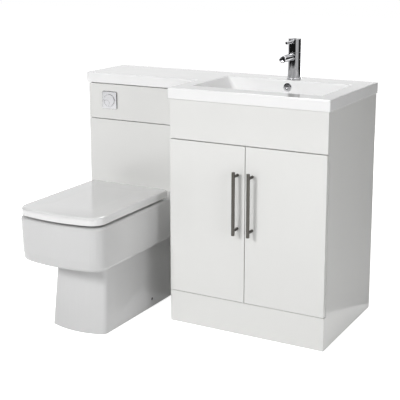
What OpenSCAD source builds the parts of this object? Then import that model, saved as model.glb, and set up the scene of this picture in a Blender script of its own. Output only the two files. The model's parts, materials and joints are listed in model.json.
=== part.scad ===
// Toilet and basin combination unit.
// A back-to-wall toilet with a concealed cistern stands beside a basin cabinet, under one
// L-shaped cast top. X runs to the right, Y from the room to the wall and Z up. The origin
// is on the floor, at the centre of the whole unit.

/* [Cabinets] */
// Width of the toilet unit
wc_unit_w = 500; // [470:10:600]
// Depth of the toilet unit, from its front panels to the wall
wc_unit_d = 259; // [255:1:300]
// Width of the basin unit
basin_unit_w = 600; // [580:10:800]
// Depth of the basin unit, from its door faces to the wall
basin_unit_d = 478; // [470:1:520]
// Height of both units, floor to the underside of the top
unit_h = 830; // [820:5:870]
// Thickness of every cabinet board
board_t = 18; // [16:1:20]
// Height of the plinth line and of the doors' lower edges
plinth_h = 120; // [100:5:150]
// Distance from the top's underside down to the line between doors and fascia, and between
// the two toilet-unit panels
split_h = 144; // [130:2:160]
// Gap between neighbouring fronts
front_gap = 3; // [2:0.5:4]
// Gap left above the toilet unit's front panel, under the top
shadow_gap = 4; // [3:0.5:6]
// Gap between a closed door and the cabinet sides
door_gap = 2.5; // [2.5:0.5:3.5]
// Width of the rails across the cabinets
rail_w = 70; // [60:5:80]
// Room left for pipes between the basin unit's base and the wall
service_gap = 75; // [65:5:90]

/* [Top and bowl] */
// Thickness of the top at its edges
top_t = 40; // [36:1:50]
// Thickness of the cast top between its edge skirt
top_skin = 14; // [12:1:18]
// Width of the skirt round the underside
top_skirt = 16; // [14:1:20]
// How far the top stands over the doors and the outer sides
top_overhang = 6; // [4:1:10]
// Radius along the edges of the top
top_edge_r = 3; // [2:0.5:4]
// Radius of the top's corners, seen from above
top_corner_r = 5; // [4:1:8]
// Width of the bowl's opening
bowl_w = 500; // [440:10:520]
// Depth of the bowl's opening, front to back
bowl_d = 293; // [270:1:300]
// How far the bowl, tap and waste sit left of the basin unit's centre
bowl_shift = 4; // [0:1:8]
// Width of the top in front of the bowl
bowl_front = 78; // [70:1:84]
// Depth of the bowl at its walls
bowl_depth = 104; // [90:1:110]
// Fall of the bowl's floor to the waste
bowl_fall = 8; // [5:1:10]
// Wall of the bowl
bowl_wall = 9; // [8:0.5:11]
// Slope of the bowl's sides, in mm across for each mm down
side_slope = 0.6; // [0.4:0.05:0.65]
// Slope of the bowl's front wall
front_slope = 0.3; // [0.2:0.05:0.35]
// Slope of the bowl's back wall
back_slope = 0.12; // [0.05:0.01:0.15]
// Drop of the overflow hole's centre below the top
overflow_drop = 25; // [22:1:32]

/* [Waste and trap] */
// Radius of the waste's flange
waste_flange_r = 32; // [30:1:34]
// Outer radius of the waste's threaded tail
waste_tail_r = 20.95; // [18:0.05:22]
// Length of the waste's tail below the bowl
waste_tail_l = 62; // [55:1:75]
// Outer radius of the waste pipe to the wall
waste_pipe_r = 18; // [16:0.5:20]
// Distance from the top's underside down to the waste pipe's centre
waste_pipe_z = 180; // [175:5:200]

/* [Tap] */
// Height of the tap above the top
tap_h = 150; // [140:5:180]
// Radius of the tap's body
tap_r = 25; // [21:0.5:26]
// Height of the head that turns
tap_head_h = 50; // [46:1:56]
// Distance from the tap's axis to the wall
tap_from_wall = 56; // [52:1:60]
// Height of the spout's axis above the top
spout_z = 84; // [78:1:86]
// Radius of the spout
spout_r = 13; // [11:0.5:14]
// Reach of the spout from the tap's axis
spout_reach = 112; // [90:2:130]
// Radius of the pin lever
lever_r = 6; // [5:0.5:7]
// Reach of the pin lever from the tap's axis
lever_reach = 78; // [60:2:90]
// Distance of each supply end from the tap's axis
tail_out = 60; // [50:2:70]
// Radius of the supply ends
tail_end_r = 7.5; // [7.5:0.5:8]
// Radius of the bends in the supply tails
tail_bend = 20; // [16:1:24]

/* [Handles and hinges] */
// Length of a handle bar
handle_l = 226; // [200:2:260]
// Radius of a handle bar
handle_r = 6; // [5:0.5:7]
// Distance between a handle's posts
handle_pitch = 192; // [160:2:200]
// Distance from the door face to the bar's axis
handle_out = 34; // [30:1:40]
// Distance from the joint of the doors to each bar's axis
handle_in = 28.5; // [24:0.5:36]
// Distance from the doors' upper edge to the bar's upper end
handle_drop = 85; // [60:5:120]
// Radius of a hinge cup
cup_r = 17.5; // [17.5:0.5:18]
// Depth of a hinge cup's bore in the door
cup_depth = 12.5; // [12.5:0.5:13]
// Distance from the door's edge to the hinge cup
cup_edge = 2.7; // [2.5:0.1:3]
// Distance from a door's end to the centre of its hinge
hinge_inset = 90; // [70:5:120]

/* [Flush plate] */
// Width and height of the flush plate
plate_w = 68; // [60:1:72]
// Distance from the toilet unit's outer side to the plate's centre
plate_in = 98; // [80:2:140]
// Distance from the top's underside down to the plate's centre
plate_z = 67; // [62:1:76]
// Radius of the round push button
button_r = 22.5; // [20:0.5:23]

/* [Cistern] */
// Width of the cistern
tank_w = 380; // [340:10:400]
// Depth of the cistern
tank_d = 150; // [140:2:156]
// Height of the cistern's tank
tank_h = 245; // [230:5:250]
// Distance from the top's underside down to the tank's rim
tank_top = 30; // [28:1:36]
// Wall of the tank
tank_wall = 4; // [3:0.5:5]
// Outer radius of the flush pipe
flush_pipe_r = 20; // [18:0.5:21]
// Lift of the flush valve
valve_lift = 20; // [16:1:24]

/* [Pan] */
// Distance from the toilet unit's front panel to the front of the rim
pan_projection = 586; // [560:2:610]
// Height of the rim
rim_z = 425; // [415:1:435]
// Half of the pan's width at the rim
rim_half = 175; // [170:1:182]
// Half of the foot's width at its front
foot_half = 116; // [112:1:119]
// Half of the foot's width at the panel
foot_back_half = 120; // [115:1:125]
// How far the rim stands out over the foot
foot_setback = 111; // [100:1:125]
// Height of the underside of the bowl
underside_z = 264; // [258:1:276]
// How far the front of the pan bows forward
pan_bow = 24; // [18:1:30]
// Radius of the pan's front corners
pan_corner_r = 55; // [48:1:62]
// Thickness of the ceramic
pan_wall = 11; // [9:0.5:12]
// Height of the soil outlet's centre
outlet_z = 185; // [180:1:190]
// Outer radius of the soil outlet
outlet_r = 51; // [50:0.5:52]
// Height of the flush inlet's centre
inlet_z = 370; // [366:1:374]

/* [Seat and lid] */
// Height of the lid's top above the rim
lid_rise = 38; // [36:1:40]
// Gap between the lid's lower edge and the rim
lid_gap = 9; // [7:0.5:10]
// Wall of the lid
lid_wall = 5; // [4:0.5:6]
// Thickness of the seat ring
seat_t = 17.5; // [15:0.5:18]
// Distance from the toilet unit's front panel to the back of the lid
lid_back = 98; // [94:2:112]
// Distance between the two hinge posts
hinge_pitch = 150; // [140:2:160]

/* [Hidden] */
$fn = 48;

// A cut runs this far past the face that it opens.
past = 1;
// Running clearance on the radius of a pin, and sliding clearance of a moving piece.
run_clear = 0.05;
slide_clear = 0.4;

// Places that everything else is measured from.
wall_y = (wc_unit_d + pan_projection) / 2;
left_x = -(wc_unit_w + basin_unit_w) / 2;
split_x = left_x + wc_unit_w;
right_x = -left_x;
wc_x = (left_x + split_x) / 2;
basin_x = (split_x + right_x) / 2;
sink_x = basin_x - bowl_shift;
wc_face_y = wall_y - wc_unit_d;
door_face_y = wall_y - basin_unit_d;
carcass_y = door_face_y + board_t + door_gap;
wc_carcass_y = wc_face_y + board_t;
top_z = unit_h + top_t;
front_top = unit_h - shadow_gap;
split_line = unit_h - split_h;

// Bowl.
bowl_x0 = sink_x - bowl_w / 2;
bowl_x1 = bowl_x0 + bowl_w;
bowl_y0 = door_face_y - top_overhang + bowl_front;
bowl_y1 = bowl_y0 + bowl_d;
bowl_fillet = 12;
floor_z = top_z - bowl_depth - bowl_fall;
waste_y = (bowl_y0 + bowl_y1) / 2 + 12;
waste_dish_r = waste_flange_r + 5;
flange_t = 3;
duct_w = 40;
duct_t = 14;
duct_wall = 5;
duct_top = top_z - top_skin;
overflow_r = 12;
duct_low = floor_z - bowl_wall - duct_t;

// Waste and trap.
waste_line = unit_h - waste_pipe_z;
tail_r_in = waste_tail_r - 4;
tail_end = floor_z - flange_t - waste_tail_l;
plug_stem_r = 3;
spider_z = floor_z - 20;
waste_end_l = 45;
trap_r = 31;
trap_nut_h = 24;
trap_top = tail_end + 8;
trap_low = waste_line - 48;
trap_cup_low = trap_low - 22;

// Tap.
tap_y = wall_y - tap_from_wall;
tap_ring_t = 5;
tap_hole_r = 17.5;
tap_boss_r = 30;
tap_top = top_z + tap_h;
head_low = tap_top - tap_head_h;
head_bore_r = tap_r - 3.5;
cartridge_low = min(head_low - 22, top_z + spout_z - spout_r + 0.5);
lever_z = tap_top - lever_r - 4;
lever_hub_r = 8;
lever_pin_r = 2;
inlet_x = 10;
inlet_y = 7.5;
inlet_r = 4;
tail_start = unit_h - 30;
tail_low = waste_line + 30;

// Doors, handles and hinges. These are the left door's; the right door mirrors them.
door_reveal = 1;
door_x0 = split_x + door_reveal;
door_x1 = basin_x - front_gap / 2;
door_z0 = plinth_h + front_gap / 2;
door_z1 = split_line - front_gap / 2;
door_back_y = door_face_y + board_t;
handle_z1 = door_z1 - handle_drop;
handle_z0 = handle_z1 - handle_l;
post_r = 5;
hinge_x = door_x0 + 6.9;
hinge_y = door_back_y - 9;
hinge_pin_r = 1.2;
hinge_zs = [door_z0 + hinge_inset, door_z1 - hinge_inset];
knuckle_r = 2.4;
arm_w = 8;
arm_t = 2;
arm_x = split_x + board_t + 3;
hinge_plate_y = carcass_y + 24;

// Flush plate and buttons.
plate_x = left_x + plate_in;
plate_line = unit_h - plate_z;
plate_t = 4;
button_proud = 1.5;
half_button_r = 13;
half_button_at = [-13, -13];
button_gap = 0.5;
housing_r = button_r + 1.8;
housing_end = wc_carcass_y + board_t + 22;
stem_r = 4;
stem_at = [[7, 7], [-12, -12]];

// Cistern.
tank_y1 = wall_y - board_t;
tank_y0 = tank_y1 - tank_d;
tank_y = (tank_y0 + tank_y1) / 2;
tank_rim = unit_h - tank_top;
tank_low = tank_rim - tank_h;
tank_floor = tank_low + tank_wall;
tank_lid_t = 8;
fill_x = wc_x + tank_w / 2 - 60;
fill_stem_r = 11;
tower_r = 33;
tower_h = 172;
valve_tail_r = 30;
cable_r = 3;
cable_bend = 25;
cable_top = unit_h + 12;
flush_bend = 55;

// Pan, seat and lid.
pan_front = wc_face_y - pan_projection;
lid_back_y = wc_face_y - lid_back;
lid_low = rim_z + lid_gap;
lid_top = rim_z + lid_rise;
hinge_axis_y = lid_back_y - 12;
hinge_axis_z = rim_z + 19;
seat_low = rim_z + 4.5;
seat_knuckle_r = 6.5;
seat_pin_r = 3;
fixing_y = wc_face_y - 136;
fixing_z = 31;
fixing_r = 6;
trap_way_r = 30;
spigot_back = 46;
spigot_wall = 9;
foot_top_half = foot_half - 9;
foot_top_setback = foot_setback + 23;
well_back = 281;
well_drop = 375;
weir_run = 150;
flush_seal_l = 24;
flush_seal_r = flush_pipe_r + 5;
flush_way_r = flush_pipe_r - 4;
seat_bolt_r = 5;
soil_end_l = 60;
rim_t = 14;

// ---------- outlines and solids that repeat ----------

// Points on an arc about c.
function arc(c, r, a0, a1, n) =
    [for (i = [0:n]) let (a = a0 + (a1 - a0) * i / n) c + r * [cos(a), sin(a)]];

// A rectangle with round corners, anticlockwise from its right-hand back corner.
function round_box(x0, x1, y0, y1, r, n = 4) = concat(
    arc([x1 - r, y1 - r], r, 0, 90, n),
    arc([x0 + r, y1 - r], r, 90, 180, n),
    arc([x0 + r, y0 + r], r, 180, 270, n),
    arc([x1 - r, y0 + r], r, 270, 360, n));

// The plan of the pan and its lid: straight sides, a bowed front and round corners.
// The bow is an arc, and each front corner is an arc that runs smoothly into it.
function soft_outline(half, half_back, front, back, bow, r, r_back, n = 6) =
    let (bow_r = (half * half + bow * bow) / (2 * bow),
         cx = half - r,
         cy = front + bow_r - sqrt(pow(bow_r - r, 2) - cx * cx),
         lean = atan2(front + bow_r - cy, cx),
         bow_arc = arc([0, front + bow_r], bow_r, 180 + lean, 360 - lean, n + 2))
    concat(
        arc([half_back - r_back, back - r_back], r_back, 0, 90, 2),
        arc([r_back - half_back, back - r_back], r_back, 90, 180, 2),
        arc([-cx, cy], r, 180, 180 + lean, n),
        [for (i = [1:n + 1]) bow_arc[i]],
        arc([cx, cy], r, 360 - lean, 360, n));

// An egg-like oval for the openings of the bowl and the seat.
function oval(half, front, back, power, n = 36) =
    let (mid = (front + back) / 2, reach = (back - front) / 2)
    [for (i = [0:n - 1]) let (a = 360 * i / n)
        [half * sign(cos(a)) * pow(abs(cos(a)), 2 / power),
         mid + reach * sign(sin(a)) * pow(abs(sin(a)), 2 / power)]];

// A solid through level outlines with as many points each, from the lowest up.
module loft(sections) {
    n = len(sections[0][1]);
    m = len(sections);
    points = [for (s = sections) for (p = s[1]) [p[0], p[1], s[0]]];
    sides = [for (k = [0:m - 2]) for (i = [0:n - 1])
        let (j = (i + 1) % n, a = k * n, b = a + n)
        for (f = [[a + i, b + i, b + j], [a + i, b + j, a + j]]) f];
    floor_face = [for (i = [0:n - 1]) i];
    top_face = [for (i = [n - 1:-1:0]) (m - 1) * n + i];
    polyhedron(points, concat([floor_face], sides, [top_face]));
}

// A round tube along a path that lies in one upright plane, with the plane's normal given.
module sweep(path, r, normal, sides = 8) {
    n = len(path);
    function along(i) = path[min(i + 1, n - 1)] - path[max(i - 1, 0)];
    function ring(i) = let (t = along(i) / norm(along(i)), u = cross(normal, t))
        [for (k = [0:sides - 1]) let (a = 360 * k / sides)
            path[i] + r * (cos(a) * u + sin(a) * normal)];
    points = [for (i = [0:n - 1]) for (p = ring(i)) p];
    skin = [for (i = [0:n - 2]) for (k = [0:sides - 1])
        let (j = (k + 1) % sides, a = i * sides, b = a + sides)
        for (f = [[a + k, b + k, b + j], [a + k, b + j, a + j]]) f];
    start_cap = [for (k = [0:sides - 1]) k];
    end_cap = [for (k = [sides - 1:-1:0]) (n - 1) * sides + k];
    polyhedron(points, concat([start_cap], skin, [end_cap]));
}

// A box between two corners.
module block(low, high) {
    translate(low) cube(high - low);
}

// A piece on the right-hand side of the pan, and its mirror image.
module both_sides() {
    for (s = [0, 1]) translate([wc_x, 0, 0]) mirror([s, 0, 0]) children();
}

// Turns what points up so that it points to the wall, or to the right.
module to_wall(at) {
    translate(at) rotate([-90, 0, 0]) children();
}

module to_right(at) {
    translate(at) rotate([0, 90, 0]) children();
}

module tube(r_out, r_in, h) {
    difference() {
        cylinder(r = r_out, h = h);
        translate([0, 0, -past]) cylinder(r = r_in, h = h + 2 * past);
    }
}

// A plate with true round corners, in the XZ plane and growing towards the wall.
module upright_plate(w, r, t) {
    rotate([90, 0, 0]) translate([0, 0, -t]) linear_extrude(t) round_square(w, w, r);
}

module round_square(w, d, r) {
    square([w - 2 * r, d], center = true);
    square([w, d - 2 * r], center = true);
    for (x = [-1, 1], y = [-1, 1])
        translate([x * (w / 2 - r), y * (d / 2 - r)]) circle(r);
}

// The same piece on the basin unit's other side.
module other_side() {
    translate([2 * basin_x, 0, 0]) mirror([1, 0, 0]) children();
}

// ---------- top and bowl ----------

// One leg of the top, with its edges rounded.
module top_leg(x0, x1, y0, y1) {
    function level(z, inset) = [z, round_box(x0 + inset, x1 - inset, y0 + inset,
        y1 - inset, top_corner_r - inset / 2)];
    loft(concat(
        [level(unit_h, top_edge_r / 2), level(unit_h + top_edge_r / 2, 0)],
        [for (a = [0, 30, 60, 90])
            level(top_z - top_edge_r * (1 - sin(a)), top_edge_r * (1 - cos(a)))]));
}

module top_recess(x0, x1, y0) {
    block([x0 + top_skirt, y0 + top_skirt, unit_h - past],
          [x1 - top_skirt, wall_y - top_skirt, top_z - top_skin]);
}

// Levels of the bowl. wall is 0 for its inside and the wall's thickness for its outside.
function bowl_level(drop, inset, wall) =
    let (d = min(drop, bowl_depth - bowl_fillet))
    [top_z - drop - wall,
     round_box(bowl_x0 + side_slope * d + inset - wall,
               bowl_x1 - side_slope * d - inset + wall,
               bowl_y0 + front_slope * d + inset - wall,
               bowl_y1 - back_slope * d - inset + wall,
               10 + 0.1 * d + 0.5 * inset + wall)];

function bowl_levels(wall) = concat(
    [[floor_z - wall,
      round_box(sink_x - waste_dish_r - wall, sink_x + waste_dish_r + wall,
                waste_y - waste_dish_r - wall, waste_y + waste_dish_r + wall,
                waste_dish_r + wall - 0.1)]],
    [for (a = [90, 60, 30, 0]) bowl_level(
        bowl_depth - bowl_fillet * (1 - sin(a)), bowl_fillet * (1 - cos(a)), wall)]);

module bowl_inside() {
    lip = [for (a = [0, 45, 90]) bowl_level(top_edge_r * (1 - sin(a)),
        -top_edge_r * (1 - cos(a)), 0)];
    loft(concat(bowl_levels(0), lip, [[top_z + past, lip[2][1]]]));
}

module bowl_outside() {
    loft(concat(bowl_levels(bowl_wall), [bowl_level(top_skin - bowl_wall - 2, 0, bowl_wall)]));
}

// The overflow's way down behind the bowl and forward to the waste.
module overflow_duct() {
    block([sink_x - duct_w / 2, bowl_y1 - 16, duct_low],
          [sink_x + duct_w / 2, bowl_y1 + bowl_wall + duct_t, duct_top]);
    block([sink_x - duct_w / 2, waste_y - waste_dish_r + 4, duct_low],
          [sink_x + duct_w / 2, bowl_y1, floor_z - bowl_wall / 2]);
}

module overflow_passage() {
    half = duct_w / 2 - duct_wall;
    block([sink_x - half, bowl_y1 + bowl_wall - 1, duct_low + duct_wall],
          [sink_x + half, bowl_y1 + bowl_wall + duct_t - duct_wall, duct_top - past]);
    block([sink_x - half, waste_y, duct_low + duct_wall],
          [sink_x + half, bowl_y1 + bowl_wall + duct_t - duct_wall, floor_z - bowl_wall]);
    overflow_place() translate([0, 0, -past]) cylinder(r = overflow_r, h = bowl_wall + 6 + past);
}

// The overflow stands square to the bowl's back wall.
module overflow_place() {
    translate([sink_x, bowl_y1 - back_slope * overflow_drop, top_z - overflow_drop])
        rotate([-90 - atan(back_slope), 0, 0]) children();
}

module basin_top() {
    wc_x0 = left_x - top_overhang;
    wc_y0 = wc_face_y - top_overhang - 1;
    basin_x0 = split_x - top_overhang;
    basin_y0 = door_face_y - top_overhang;
    color("white") difference() {
        union() {
            difference() {
                union() {
                    top_leg(wc_x0, split_x + 30, wc_y0, wall_y);
                    top_leg(basin_x0, right_x + top_overhang, basin_y0, wall_y);
                }
                top_recess(wc_x0, split_x, wc_y0);
                top_recess(basin_x0, right_x + top_overhang, basin_y0);
            }
            translate([sink_x, tap_y, unit_h]) cylinder(r = tap_boss_r, h = top_t - top_skin + 2);
            bowl_outside();
            overflow_duct();
        }
        bowl_inside();
        overflow_passage();
        translate([sink_x, tap_y, unit_h - past]) cylinder(r = tap_hole_r, h = top_t + 2 * past);
        translate([sink_x, waste_y, floor_z - flange_t])
            cylinder(r = waste_flange_r + slide_clear, h = flange_t + past);
        translate([sink_x, waste_y, duct_low - past])
            cylinder(r = waste_tail_r + 1.5, h = floor_z - duct_low + 2 * past);
    }
}

module overflow_ring() {
    flange = overflow_r + 4;
    color("silver") overflow_place() difference() {
        union() {
            translate([0, 0, -3]) cylinder(r1 = flange - 1.5, r2 = flange, h = 1.5);
            translate([0, 0, -1.5]) cylinder(r = flange, h = 1.5);
            translate([0, 0, -1]) cylinder(r = overflow_r - run_clear, h = bowl_wall + 2);
        }
        translate([0, 0, -3 - past]) cylinder(r = overflow_r - 2, h = bowl_wall + 8);
    }
}

// ---------- waste and trap ----------

module waste_flange() {
    color("silver") translate([sink_x, waste_y, 0]) difference() {
        union() {
            translate([0, 0, floor_z - flange_t]) cylinder(r = waste_flange_r, h = flange_t);
            translate([0, 0, tail_end]) tube(waste_tail_r, tail_r_in, waste_tail_l + 1);
            translate([0, 0, spider_z]) cylinder(r = plug_stem_r + 3, h = 8);
            for (a = [0, 60, 120]) rotate([0, 0, a])
                translate([-tail_r_in - 1, -1.5, spider_z]) cube([2 * tail_r_in + 2, 3, 6]);
        }
        translate([0, 0, floor_z - flange_t - past])
            cylinder(r = tail_r_in, h = flange_t + 2 * past);
        translate([0, 0, spider_z - past])
            cylinder(r = plug_stem_r + run_clear, h = 8 + 2 * past);
        // Windows that let the overflow in.
        for (s = [0, 1]) mirror([0, s, 0]) block([-7, tail_r_in - 2, duct_low + duct_wall],
            [7, waste_tail_r + past, duct_low + duct_t - 1]);
    }
}

module waste_plug() {
    cap_r = waste_flange_r - 2;
    color("silver") translate([sink_x, waste_y, floor_z + slide_clear]) union() {
        rotate_extrude() polygon([[0, 0], [cap_r - 1, 0], [cap_r, 1], [cap_r, 2.5],
            [cap_r - 2, 4], [cap_r / 2, 5.2], [0, 5.6]]);
        translate([0, 0, -46]) cylinder(r = plug_stem_r, h = 47);
    }
}

module waste_nut() {
    color("silver") translate([sink_x, waste_y, duct_low - 9]) difference() {
        union() {
            cylinder(r = waste_tail_r + 10, h = 9, $fn = 6);
            translate([0, 0, 6]) cylinder(r = waste_tail_r + 9, h = 3);
        }
        translate([0, 0, -past]) cylinder(r = waste_tail_r + run_clear, h = 9 + 2 * past);
    }
}

module trap_body() {
    dip_r = waste_tail_r - 3;
    color("white") difference() {
        union() {
            translate([sink_x, waste_y, trap_low]) cylinder(r = trap_r, h = trap_top - trap_low);
            translate([sink_x, waste_y, trap_top - trap_nut_h + 12])
                cylinder(r = trap_r - 2, h = trap_nut_h - 6, $fn = 8);
            to_wall([sink_x, waste_y, waste_line]) cylinder(r = waste_pipe_r + 4, h = trap_r + 16);
            to_wall([sink_x, waste_y + trap_r + 4, waste_line])
                cylinder(r = waste_pipe_r + 8, h = 22);
        }
        difference() {
            translate([sink_x, waste_y, trap_low - past])
                cylinder(r = trap_r - 3, h = trap_top - trap_low - 12);
            translate([sink_x, waste_y, trap_low + 4]) cylinder(r = dip_r + 2, h = trap_top);
        }
        translate([sink_x, waste_y, trap_low - past]) cylinder(r = dip_r, h = trap_top);
        translate([sink_x, waste_y, tail_end - run_clear])
            cylinder(r = waste_tail_r + run_clear, h = trap_nut_h + 20);
        to_wall([sink_x, waste_y + dip_r + 3, waste_line])
            cylinder(r = waste_pipe_r - 3, h = trap_r + 40);
        to_wall([sink_x, waste_y + trap_r + 6, waste_line])
            cylinder(r = waste_pipe_r + run_clear, h = trap_r + 40);
    }
}

module trap_cup() {
    grips = 16;
    color("white") translate([sink_x, waste_y, trap_cup_low]) difference() {
        union() {
            cylinder(r1 = trap_r - 6, r2 = trap_r + 2, h = 8);
            translate([0, 0, 8]) cylinder(r = trap_r + 2, h = trap_low - trap_cup_low + 4);
            for (i = [0:grips - 1]) rotate([0, 0, i * 360 / grips])
                translate([trap_r + 1, -1.5, 10]) cube([3, 3, 14]);
        }
        translate([0, 0, 4]) cylinder(r = trap_r - 6, h = 60);
        translate([0, 0, trap_low - trap_cup_low]) cylinder(r = trap_r + run_clear, h = 60);
    }
}

module trap_arm() {
    start = waste_y + trap_r + 6 + run_clear;
    color("white") difference() {
        union() {
            to_wall([sink_x, start, waste_line]) cylinder(r = waste_pipe_r, h = wall_y - start);
            to_wall([sink_x, wall_y - waste_end_l, waste_line])
                cylinder(r = waste_pipe_r + 2, h = waste_end_l);
        }
        to_wall([sink_x, start - past, waste_line]) cylinder(r = waste_pipe_r - 2, h = wall_y);
    }
}

// ---------- tap ----------

module tap_base_ring() {
    color("silver") translate([sink_x, tap_y, top_z]) difference() {
        rotate_extrude() polygon([[0, 0], [tap_r + 3.5, 0], [tap_r + 3.5, 2.5],
            [tap_r + 1, tap_ring_t], [0, tap_ring_t]]);
        translate([0, 0, -past]) cylinder(r = tap_hole_r - 0.5, h = tap_ring_t + 2 * past);
    }
}

module tap_body() {
    low = top_z + tap_ring_t;
    spout_at = [sink_x, tap_y, top_z + spout_z];
    color("silver") difference() {
        union() {
            translate([sink_x, tap_y, low]) cylinder(r = tap_r, h = head_low - slide_clear - low);
            translate(spout_at) rotate([90, 0, 0]) cylinder(r = spout_r, h = spout_reach);
        }
        // The spout's mouth is cut back below, and bored.
        translate(spout_at + [0, -spout_reach, 0]) rotate([-35, 0, 0])
            translate([-spout_r - past, -3 * spout_r, -3 * spout_r])
                cube([2 * spout_r + 2 * past, 3 * spout_r, 6 * spout_r]);
        translate(spout_at) rotate([90, 0, 0]) cylinder(r = spout_r - 3, h = spout_reach + 10);
        // Cartridge, fixing and inlets.
        translate([sink_x, tap_y, cartridge_low]) cylinder(r = head_bore_r - 1, h = 40);
        translate([sink_x, tap_y, low - past]) cylinder(r = 5, h = 15 + past);
        for (x = [-1, 1]) translate([sink_x + x * inlet_x, tap_y + inlet_y, low - past])
            cylinder(r = inlet_r, h = 18 + past);
    }
}

module tap_aerator() {
    y = tap_y - spout_reach + 15;
    color("silver") translate([sink_x, y, top_z + spout_z]) rotate([90, 0, 0]) difference() {
        cylinder(r = spout_r - 3, h = 5);
        for (a = [0:60:300]) rotate([0, 0, a]) translate([spout_r / 2 - 1, 0, -past])
            cylinder(r = 1.6, h = 5 + 2 * past);
        translate([0, 0, -past]) cylinder(r = 1.6, h = 5 + 2 * past);
    }
}

module tap_cartridge() {
    color("gainsboro") translate([sink_x, tap_y, 0]) union() {
        translate([0, 0, cartridge_low]) cylinder(r = head_bore_r - 1, h = head_low - cartridge_low);
        translate([0, 0, head_low]) cylinder(r = head_bore_r - run_clear, h = 9);
        translate([0, 0, head_low]) cylinder(r = 6, h = lever_z - lever_hub_r - head_low);
    }
}

// The head is a cap with a slot for the lever, open at the top.
module tap_head() {
    color("silver") difference() {
        translate([sink_x, tap_y, head_low]) cylinder(r = tap_r, h = tap_head_h);
        translate([sink_x, tap_y, head_low - past])
            cylinder(r = head_bore_r, h = tap_head_h - 5 + past);
        block([sink_x - lever_r - 1, tap_y - tap_r - past, lever_z - lever_r - 1],
              [sink_x + lever_r + 1, tap_y + lever_hub_r, tap_top + past]);
        to_right([sink_x - tap_r + 1.5, tap_y, lever_z])
            cylinder(r = lever_pin_r, h = 2 * tap_r - 3);
    }
}

module tap_lever() {
    color("silver") difference() {
        union() {
            translate([sink_x, tap_y, lever_z]) rotate([90, 0, 0])
                cylinder(r = lever_r, h = lever_reach - 2);
            translate([sink_x, tap_y - lever_reach + 2, lever_z]) rotate([90, 0, 0])
                cylinder(r1 = lever_r, r2 = lever_r - 2, h = 2);
            to_right([sink_x - lever_r, tap_y, lever_z])
                cylinder(r = lever_hub_r - 1, h = 2 * lever_r);
        }
        to_right([sink_x - 2 * lever_r, tap_y, lever_z])
            cylinder(r = lever_pin_r + run_clear, h = 4 * lever_r);
    }
}

module tap_lever_pin() {
    color("gray") to_right([sink_x - tap_r + 1.5, tap_y, lever_z])
        cylinder(r = lever_pin_r, h = 2 * tap_r - 3);
}

// The stud, and under the top a horseshoe washer and a nut.
module tap_fixing() {
    color("goldenrod") translate([sink_x, tap_y, 0]) {
        translate([0, 0, unit_h - 24]) cylinder(r = 5, h = top_t + tap_ring_t + 24 + 14);
        translate([0, 0, unit_h - 3]) difference() {
            cylinder(r = tap_hole_r + 6, h = 3);
            translate([0, 0, -past]) cylinder(r = 5, h = 5);
            block([-inlet_x - inlet_r - 1, 2.5, -past], [inlet_x + inlet_r + 1, 40, 5]);
        }
        translate([0, 0, unit_h - 13]) difference() {
            cylinder(r = 9, h = 10, $fn = 6);
            translate([0, 0, -past]) cylinder(r = 5, h = 12);
        }
    }
}

// A copper pipe from each of the tap's inlets, set outwards past the trap, with a nut and a
// supply end that points down.
module tap_tails() {
    r = inlet_r - run_clear;
    bore = inlet_r - 1;
    bent_z = tail_start - 2 * tail_bend;
    module bend() {
        rotate_extrude(angle = 90) translate([tail_bend, 0]) difference() {
            circle(r);
            circle(bore);
        }
    }
    color("peru") for (s = [0, 1]) translate([sink_x, tap_y + inlet_y, 0]) mirror([s, 0, 0]) {
        translate([inlet_x, 0, tail_start]) tube(r, bore, top_z + tap_ring_t + 14 - tail_start);
        translate([inlet_x + tail_bend, 0, tail_start]) rotate([90, 0, 0])
            rotate([0, 0, 180]) bend();
        to_right([inlet_x + tail_bend, 0, tail_start - tail_bend])
            tube(r, bore, tail_out - inlet_x - 2 * tail_bend);
        translate([tail_out - tail_bend, 0, bent_z]) rotate([90, 0, 0]) bend();
        translate([tail_out, 0, tail_low + 30]) tube(r, bore, bent_z - tail_low - 30);
        translate([tail_out, 0, tail_low + 22]) difference() {
            cylinder(r = tail_end_r + 5, h = 13, $fn = 6);
            translate([0, 0, -past]) cylinder(r = bore, h = 13 + 2 * past);
        }
        translate([tail_out, 0, tail_low]) tube(tail_end_r, tail_end_r - 1.5, 23);
    }
}

// ---------- basin unit ----------

module basin_side_left() {
    color("white") block([split_x, carcass_y, 0], [split_x + board_t, wall_y, unit_h]);
}

module basin_side_right() {
    color("whitesmoke") other_side()
        block([split_x, carcass_y, 0], [split_x + board_t, wall_y, unit_h]);
}

module basin_base() {
    color("white") block([split_x + board_t, carcass_y, plinth_h],
                         [right_x - board_t, wall_y - service_gap, plinth_h + board_t]);
}

module basin_rails() {
    x0 = split_x + board_t;
    x1 = right_x - board_t;
    color("white") {
        block([x0, wall_y - board_t, unit_h - rail_w], [x1, wall_y, unit_h]);
        block([x0, wall_y - board_t, plinth_h + board_t], [x1, wall_y, plinth_h + board_t + rail_w]);
        block([x0, carcass_y, split_line - board_t / 2], [x1, carcass_y + rail_w, split_line + board_t / 2]);
        block([x0, carcass_y, unit_h - rail_w], [x1, carcass_y + board_t, unit_h]);
    }
}

module plinth() {
    color("white") block([split_x, door_face_y + door_gap, 0],
                         [right_x, carcass_y, plinth_h - front_gap / 2]);
}

module fascia_panel() {
    color("white") block([split_x, door_face_y + door_gap, split_line + front_gap / 2],
                         [right_x, carcass_y, unit_h]);
}

module door() {
    difference() {
        block([door_x0, door_face_y, door_z0], [door_x1, door_back_y, door_z1]);
        for (z = hinge_zs) to_wall([door_x0 + cup_edge + cup_r, door_back_y - cup_depth, z])
            cylinder(r = cup_r, h = cup_depth + past);
        for (z = handle_post_zs) to_wall([basin_x - handle_in, door_face_y - past, z])
            cylinder(r = 2.5, h = board_t + 2 * past);
    }
}

handle_post_zs = [for (s = [-1, 1]) (handle_z0 + handle_z1) / 2 + s * handle_pitch / 2];

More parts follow.
